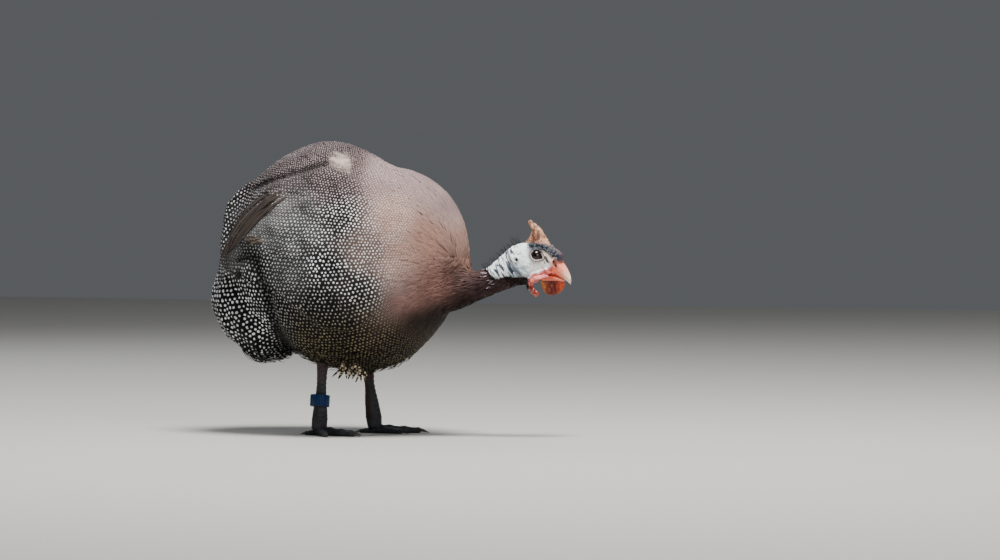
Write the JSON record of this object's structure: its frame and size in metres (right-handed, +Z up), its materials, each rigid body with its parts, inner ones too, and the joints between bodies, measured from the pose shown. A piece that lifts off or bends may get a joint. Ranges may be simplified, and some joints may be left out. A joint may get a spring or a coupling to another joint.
{
  "type": "guinea fowl",
  "caption": "Helmeted guinea fowl standing hunched, head stretched low, with dotted plumage, a bony casque, red wattles and a blue leg band.",
  "frame": {"origin": "on the floor, under the middle of the bounding box", "axes": "+X from tail to bill, +Y to the bird's left, +Z up"},
  "size_m": [0.3813, 0.1922, 0.2939],
  "materials": {
    "plumage": "dark grey feathers with white dots, plain pinkish brown at the shoulders",
    "neck_skin": "dark brown short feathers",
    "head_skin": "bare wrinkled bluish white skin",
    "casque_horn": "rough pitted horn",
    "bill_horn": "smooth horn",
    "wattle_skin": "soft red skin",
    "eye": "wet gloss",
    "leg_scales": "dry horny scutes",
    "claw_horn": "satin horn",
    "band_plastic": "moulded blue plastic"
  },
  "bodies": {
    "root": {"torso": "plumage", "neck": "neck_skin", "head": "head_skin", "casque": "casque_horn", "bill_upper": "bill_horn", "bill_lower": "bill_horn", "wattle_left": "wattle_skin", "wattle_right": "wattle_skin", "eye_left": "eye", "eye_right": "eye", "wing_left": "plumage", "wing_right": "plumage", "tail": "plumage", "leg_left": "leg_scales", "leg_right": "leg_scales", "leg_band": "band_plastic", "claw_left_inner": "claw_horn", "claw_left_middle": "claw_horn", "claw_left_outer": "claw_horn", "claw_left_hind": "claw_horn", "claw_right_inner": "claw_horn", "claw_right_middle": "claw_horn", "claw_right_outer": "claw_horn", "claw_right_hind": "claw_horn"}
  },
  "joints": []
}
